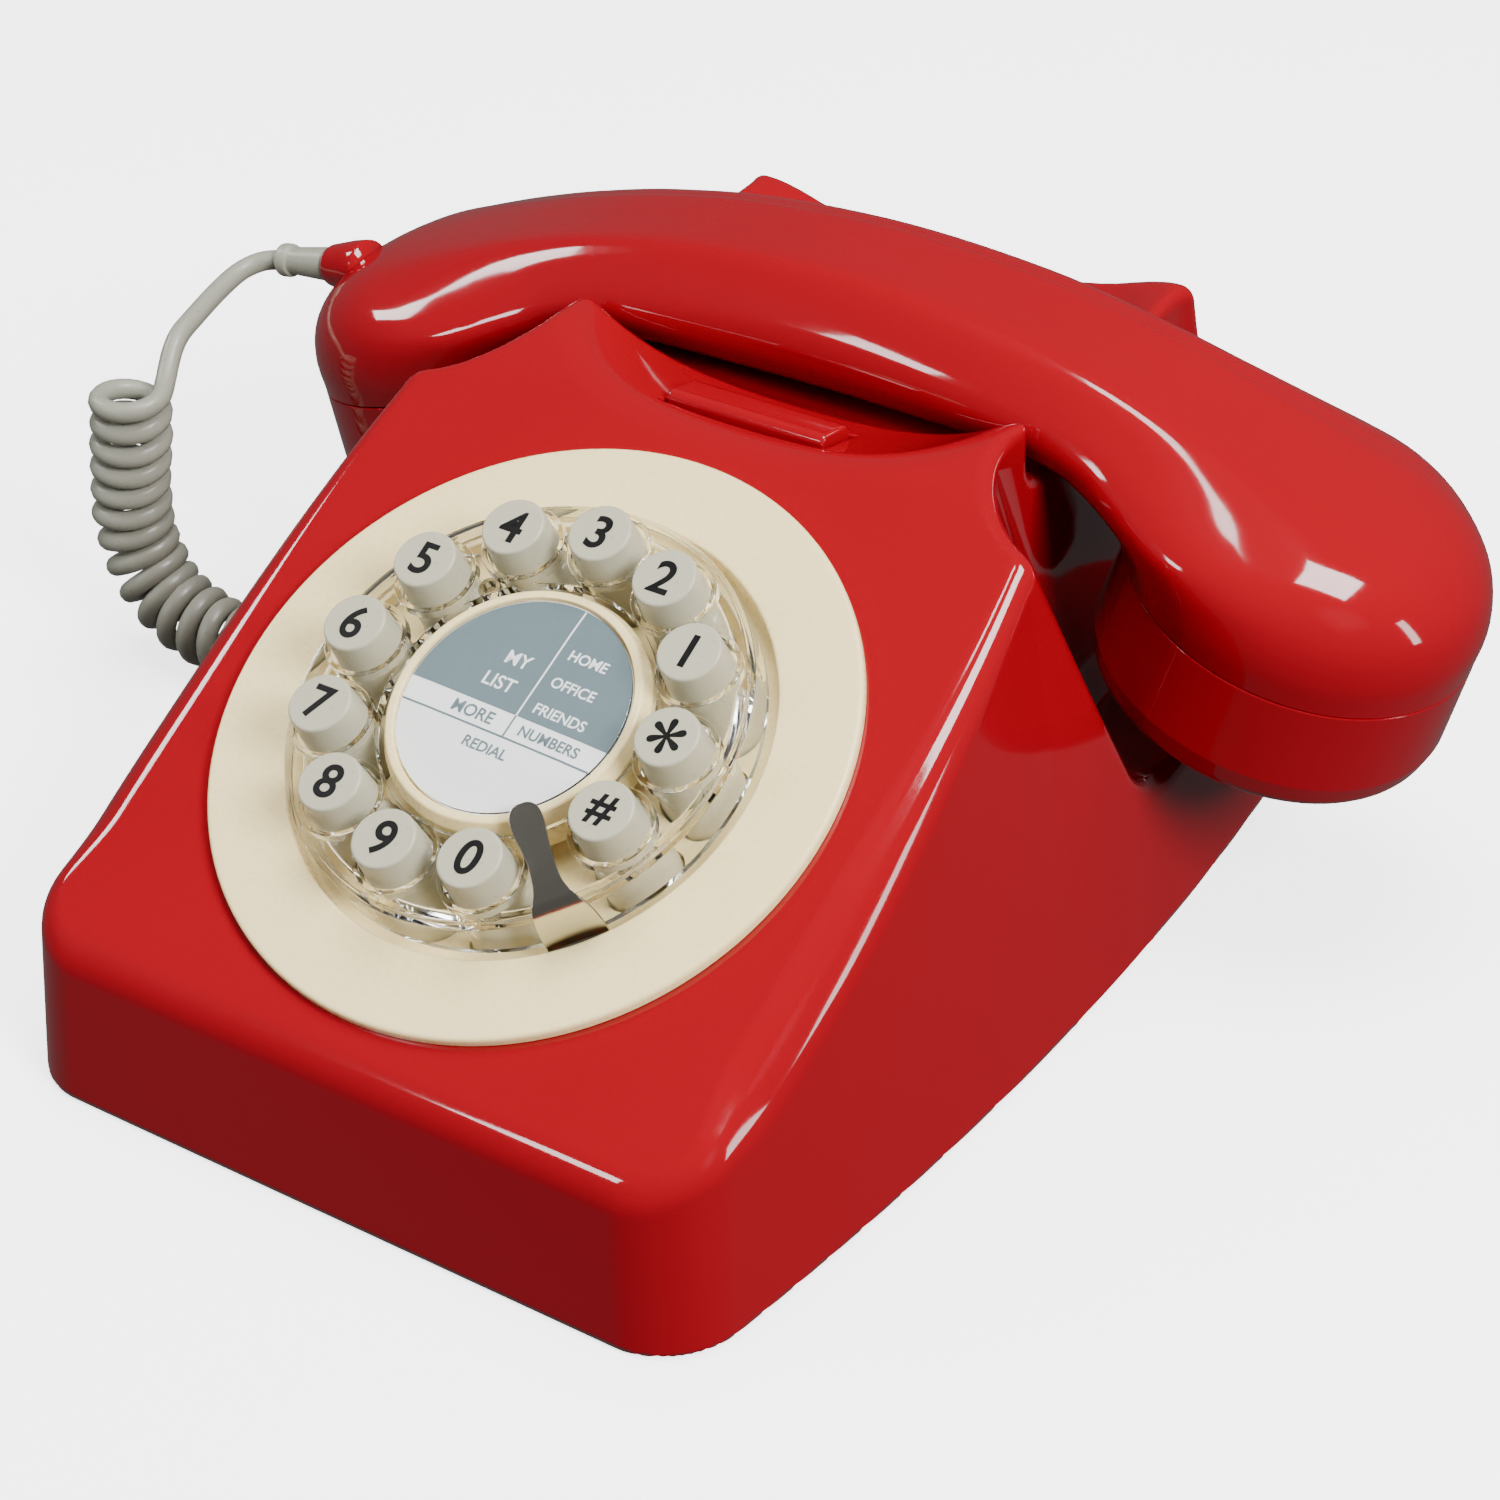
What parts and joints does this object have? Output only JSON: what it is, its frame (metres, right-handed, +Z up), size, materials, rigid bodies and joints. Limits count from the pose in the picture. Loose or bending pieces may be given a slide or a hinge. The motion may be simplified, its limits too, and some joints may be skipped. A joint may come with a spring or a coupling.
{
  "type": "desk telephone",
  "caption": "Retro desk telephone with a sloping case, a ring of push buttons in a clear wheel, a handset across a cradle and a coiled cord.",
  "frame": {"origin": "on the surface it stands on, under the middle of the telephone measured without its cord", "axes": "+X to the user's right, along the handset; +Y to the rear; +Z up"},
  "size_m": [0.2585, 0.224, 0.0993],
  "materials": {
    "red_abs": "high gloss moulded red ABS",
    "cream_abs": "semi-gloss moulded cream ABS",
    "clear_acrylic": "polished clear acrylic",
    "clear_polycarbonate": "clear moulded polycarbonate plug",
    "bright_steel": "bright rolled steel strip",
    "spring_steel": "drawn spring wire",
    "zinc_steel": "zinc-plated steel",
    "grey_button_plastic": "satin grey moulded plastic",
    "label_card": "printed card",
    "black_plastic": "black moulded plastic",
    "soft_rubber": "soft non-slip rubber",
    "silicone_rubber": "grey silicone keypad rubber",
    "circuit_board": "green solder-masked laminate",
    "grey_pvc": "grey-green PVC cord jacket"
  },
  "bodies": {
    "base": {"case": "red_abs", "dial_faceplate": "cream_abs", "finger_wheel": "clear_acrylic", "wheel_post_1": "clear_acrylic", "wheel_post_2": "clear_acrylic", "wheel_post_3": "clear_acrylic", "finger_stop": "bright_steel", "base_plate": "black_plastic", "hook_switch": "black_plastic", "handset_socket": "black_plastic", "line_socket": "black_plastic", "ringer": "black_plastic", "hook_spring": "spring_steel", "hook_bracket": "zinc_steel", "keypad_membrane": "silicone_rubber", "keypad_board": "circuit_board", "main_board": "circuit_board", "cord_straight": "grey_pvc", "cord_coil": "grey_pvc", "cord_tail": "grey_pvc", "cord_plug": "clear_polycarbonate", "foot_1": "soft_rubber", "base_screw_1": "zinc_steel", "foot_2": "soft_rubber", "base_screw_2": "zinc_steel", "foot_3": "soft_rubber", "base_screw_3": "zinc_steel", "foot_4": "soft_rubber", "base_screw_4": "zinc_steel"},
    "handset": {"handset_shell": "red_abs", "ear_cap": "red_abs", "mouth_cap": "red_abs", "receiver_capsule": "black_plastic", "microphone_capsule": "black_plastic", "handset_weight": "zinc_steel", "cord_boot": "grey_pvc"},
    "redial": {"redial_cap": "cream_abs", "dial_label": "label_card", "label_window": "clear_acrylic"},
    "hook": {"hook_bar": "red_abs"},
    "ringer_knob": {"ringer_switch": "black_plastic"},
    "tone_knob": {"tone_switch": "black_plastic"},
    "key_hash": {"button_hash": "grey_button_plastic"},
    "key_star": {"button_star": "grey_button_plastic"},
    "key_1": {"button_1": "grey_button_plastic"},
    "key_2": {"button_2": "grey_button_plastic"},
    "key_3": {"button_3": "grey_button_plastic"},
    "key_4": {"button_4": "grey_button_plastic"},
    "key_5": {"button_5": "grey_button_plastic"},
    "key_6": {"button_6": "grey_button_plastic"},
    "key_7": {"button_7": "grey_button_plastic"},
    "key_8": {"button_8": "grey_button_plastic"},
    "key_9": {"button_9": "grey_button_plastic"},
    "key_0": {"button_0": "grey_button_plastic"}
  },
  "joints": [
    {"name": "handset_lift", "type": "slide", "parent": "base", "child": "handset", "axis": [0, 0, 1], "range_m": [0, 0.12], "deforming": ["cord_straight", "cord_coil"]},
    {"name": "press_hash", "type": "slide", "parent": "base", "child": "key_hash", "axis": [0, 0.4555, -0.8902], "range_m": [0, 0.002], "stiffness_N_per_m": 400},
    {"name": "press_star", "type": "slide", "parent": "base", "child": "key_star", "axis": [0, 0.4555, -0.8902], "range_m": [0, 0.002], "stiffness_N_per_m": 400},
    {"name": "press_1", "type": "slide", "parent": "base", "child": "key_1", "axis": [0, 0.4555, -0.8902], "range_m": [0, 0.002], "stiffness_N_per_m": 400},
    {"name": "press_2", "type": "slide", "parent": "base", "child": "key_2", "axis": [0, 0.4555, -0.8902], "range_m": [0, 0.002], "stiffness_N_per_m": 400},
    {"name": "press_3", "type": "slide", "parent": "base", "child": "key_3", "axis": [0, 0.4555, -0.8902], "range_m": [0, 0.002], "stiffness_N_per_m": 400},
    {"name": "press_4", "type": "slide", "parent": "base", "child": "key_4", "axis": [0, 0.4555, -0.8902], "range_m": [0, 0.002], "stiffness_N_per_m": 400},
    {"name": "press_5", "type": "slide", "parent": "base", "child": "key_5", "axis": [0, 0.4555, -0.8902], "range_m": [0, 0.002], "stiffness_N_per_m": 400},
    {"name": "press_6", "type": "slide", "parent": "base", "child": "key_6", "axis": [0, 0.4555, -0.8902], "range_m": [0, 0.002], "stiffness_N_per_m": 400},
    {"name": "press_7", "type": "slide", "parent": "base", "child": "key_7", "axis": [0, 0.4555, -0.8902], "range_m": [0, 0.002], "stiffness_N_per_m": 400},
    {"name": "press_8", "type": "slide", "parent": "base", "child": "key_8", "axis": [0, 0.4555, -0.8902], "range_m": [0, 0.002], "stiffness_N_per_m": 400},
    {"name": "press_9", "type": "slide", "parent": "base", "child": "key_9", "axis": [0, 0.4555, -0.8902], "range_m": [0, 0.002], "stiffness_N_per_m": 400},
    {"name": "press_0", "type": "slide", "parent": "base", "child": "key_0", "axis": [0, 0.4555, -0.8902], "range_m": [0, 0.002], "stiffness_N_per_m": 400},
    {"name": "press_redial", "type": "slide", "parent": "base", "child": "redial", "axis": [0, 0.4555, -0.8902], "range_m": [0, 0.0015], "stiffness_N_per_m": 500},
    {"name": "hook_rise", "type": "slide", "parent": "base", "child": "hook", "axis": [0, 0, 1], "range_m": [0, 0.004], "stiffness_N_per_m": 300, "deforming": ["hook_spring"]},
    {"name": "ringer_select", "type": "slide", "parent": "base", "child": "ringer_knob", "axis": [1, 0, 0], "range_m": [-0.0024, 0.0024]},
    {"name": "tone_select", "type": "slide", "parent": "base", "child": "tone_knob", "axis": [1, 0, 0], "range_m": [-0.0024, 0.0024]}
  ]
}
